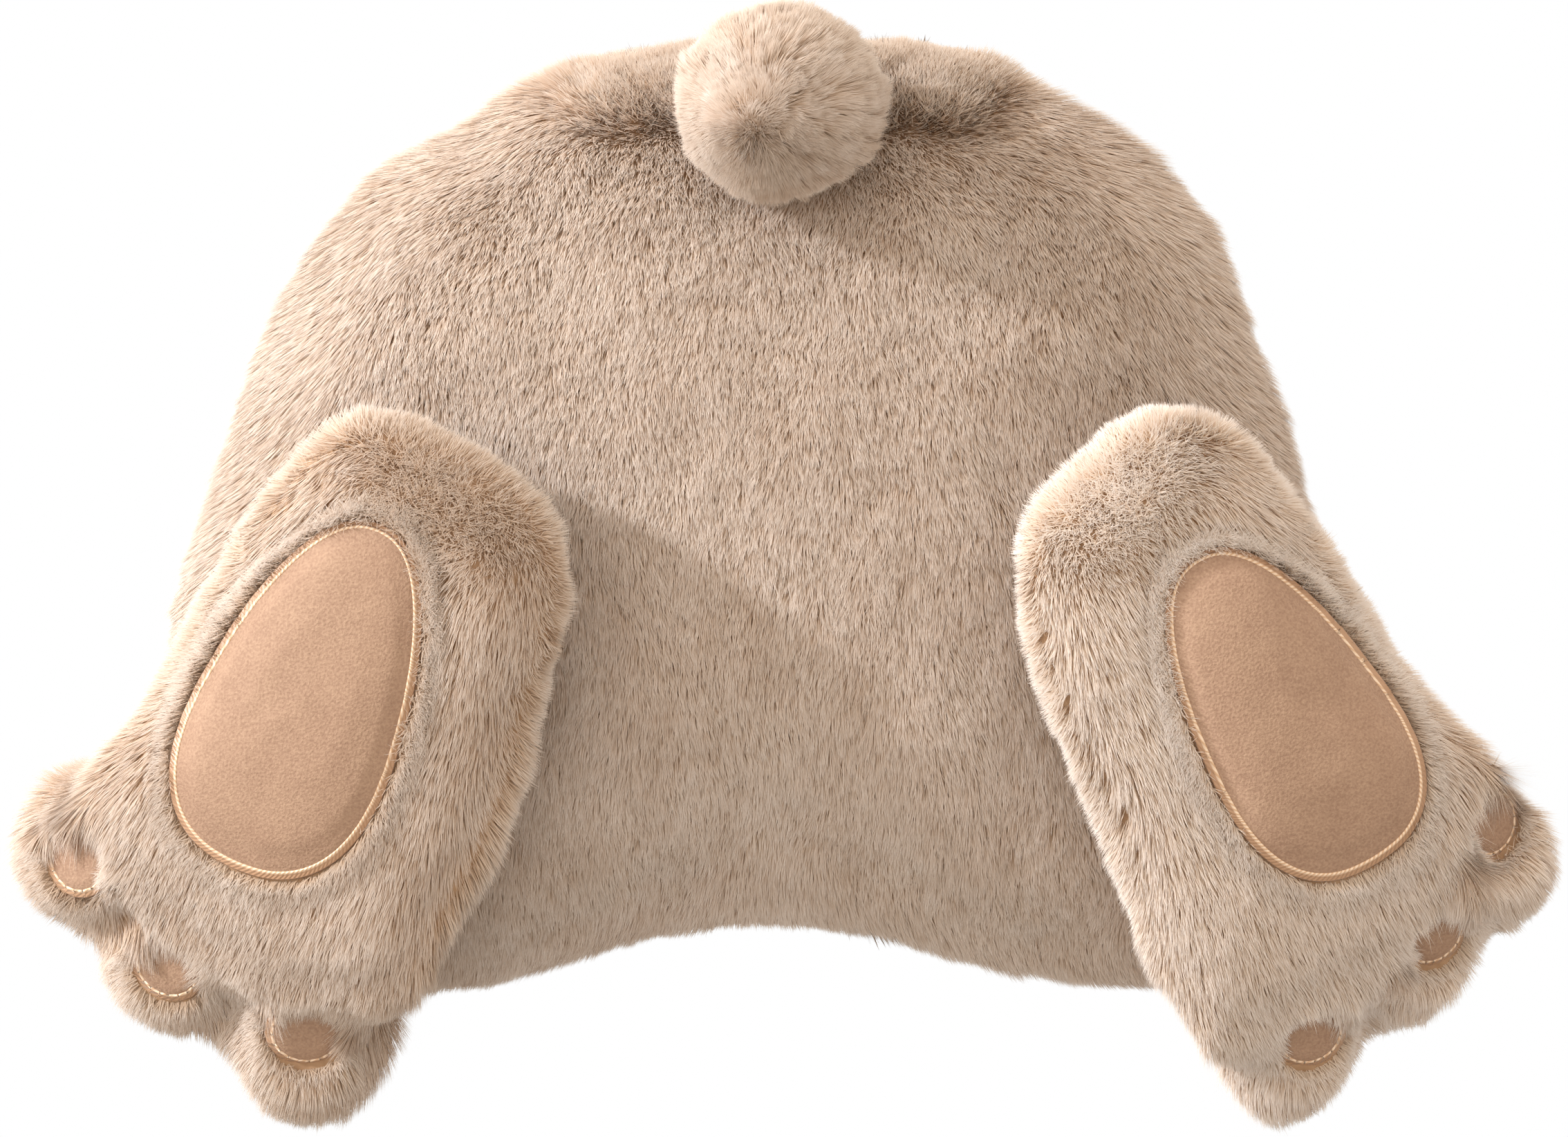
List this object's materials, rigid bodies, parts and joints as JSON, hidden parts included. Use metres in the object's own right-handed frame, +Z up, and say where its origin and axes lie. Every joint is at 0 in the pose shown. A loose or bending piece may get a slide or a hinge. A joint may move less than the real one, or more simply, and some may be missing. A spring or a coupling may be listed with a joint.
{
  "type": "plush rabbit-shaped cushion",
  "caption": "Filled long-pile plush cushion shaped like the back half of a rabbit, with a pompom tail and sole-up feet that carry short-pile patches edged in satin stitch.",
  "frame": {"origin": "on the floor below the middle of the cushion's bounding box", "axes": "+X across the cushion, towards the right foot as seen from above; +Y from the feet to the tail; +Z up, out of the face that carries the tail and the feet"},
  "size_m": [0.566, 0.4087, 0.1762],
  "materials": {
    "plush_pile": "long brushed pile, matt",
    "velour_patch": "short velour pile with a soft sheen",
    "satin_stitch": "glossy embroidery thread"
  },
  "bodies": {
    "root": {"body": "plush_pile", "tail": "plush_pile", "foot_left": "plush_pile", "foot_right": "plush_pile", "sole_left": "velour_patch", "sole_right": "velour_patch", "sole_edging_left": "satin_stitch", "sole_edging_right": "satin_stitch", "toe_patch_left_1": "velour_patch", "toe_patch_left_2": "velour_patch", "toe_patch_left_3": "velour_patch", "toe_patch_right_1": "velour_patch", "toe_patch_right_2": "velour_patch", "toe_patch_right_3": "velour_patch", "toe_edging_left_1": "satin_stitch", "toe_edging_left_2": "satin_stitch", "toe_edging_left_3": "satin_stitch", "toe_edging_right_1": "satin_stitch", "toe_edging_right_2": "satin_stitch", "toe_edging_right_3": "satin_stitch"}
  },
  "joints": []
}
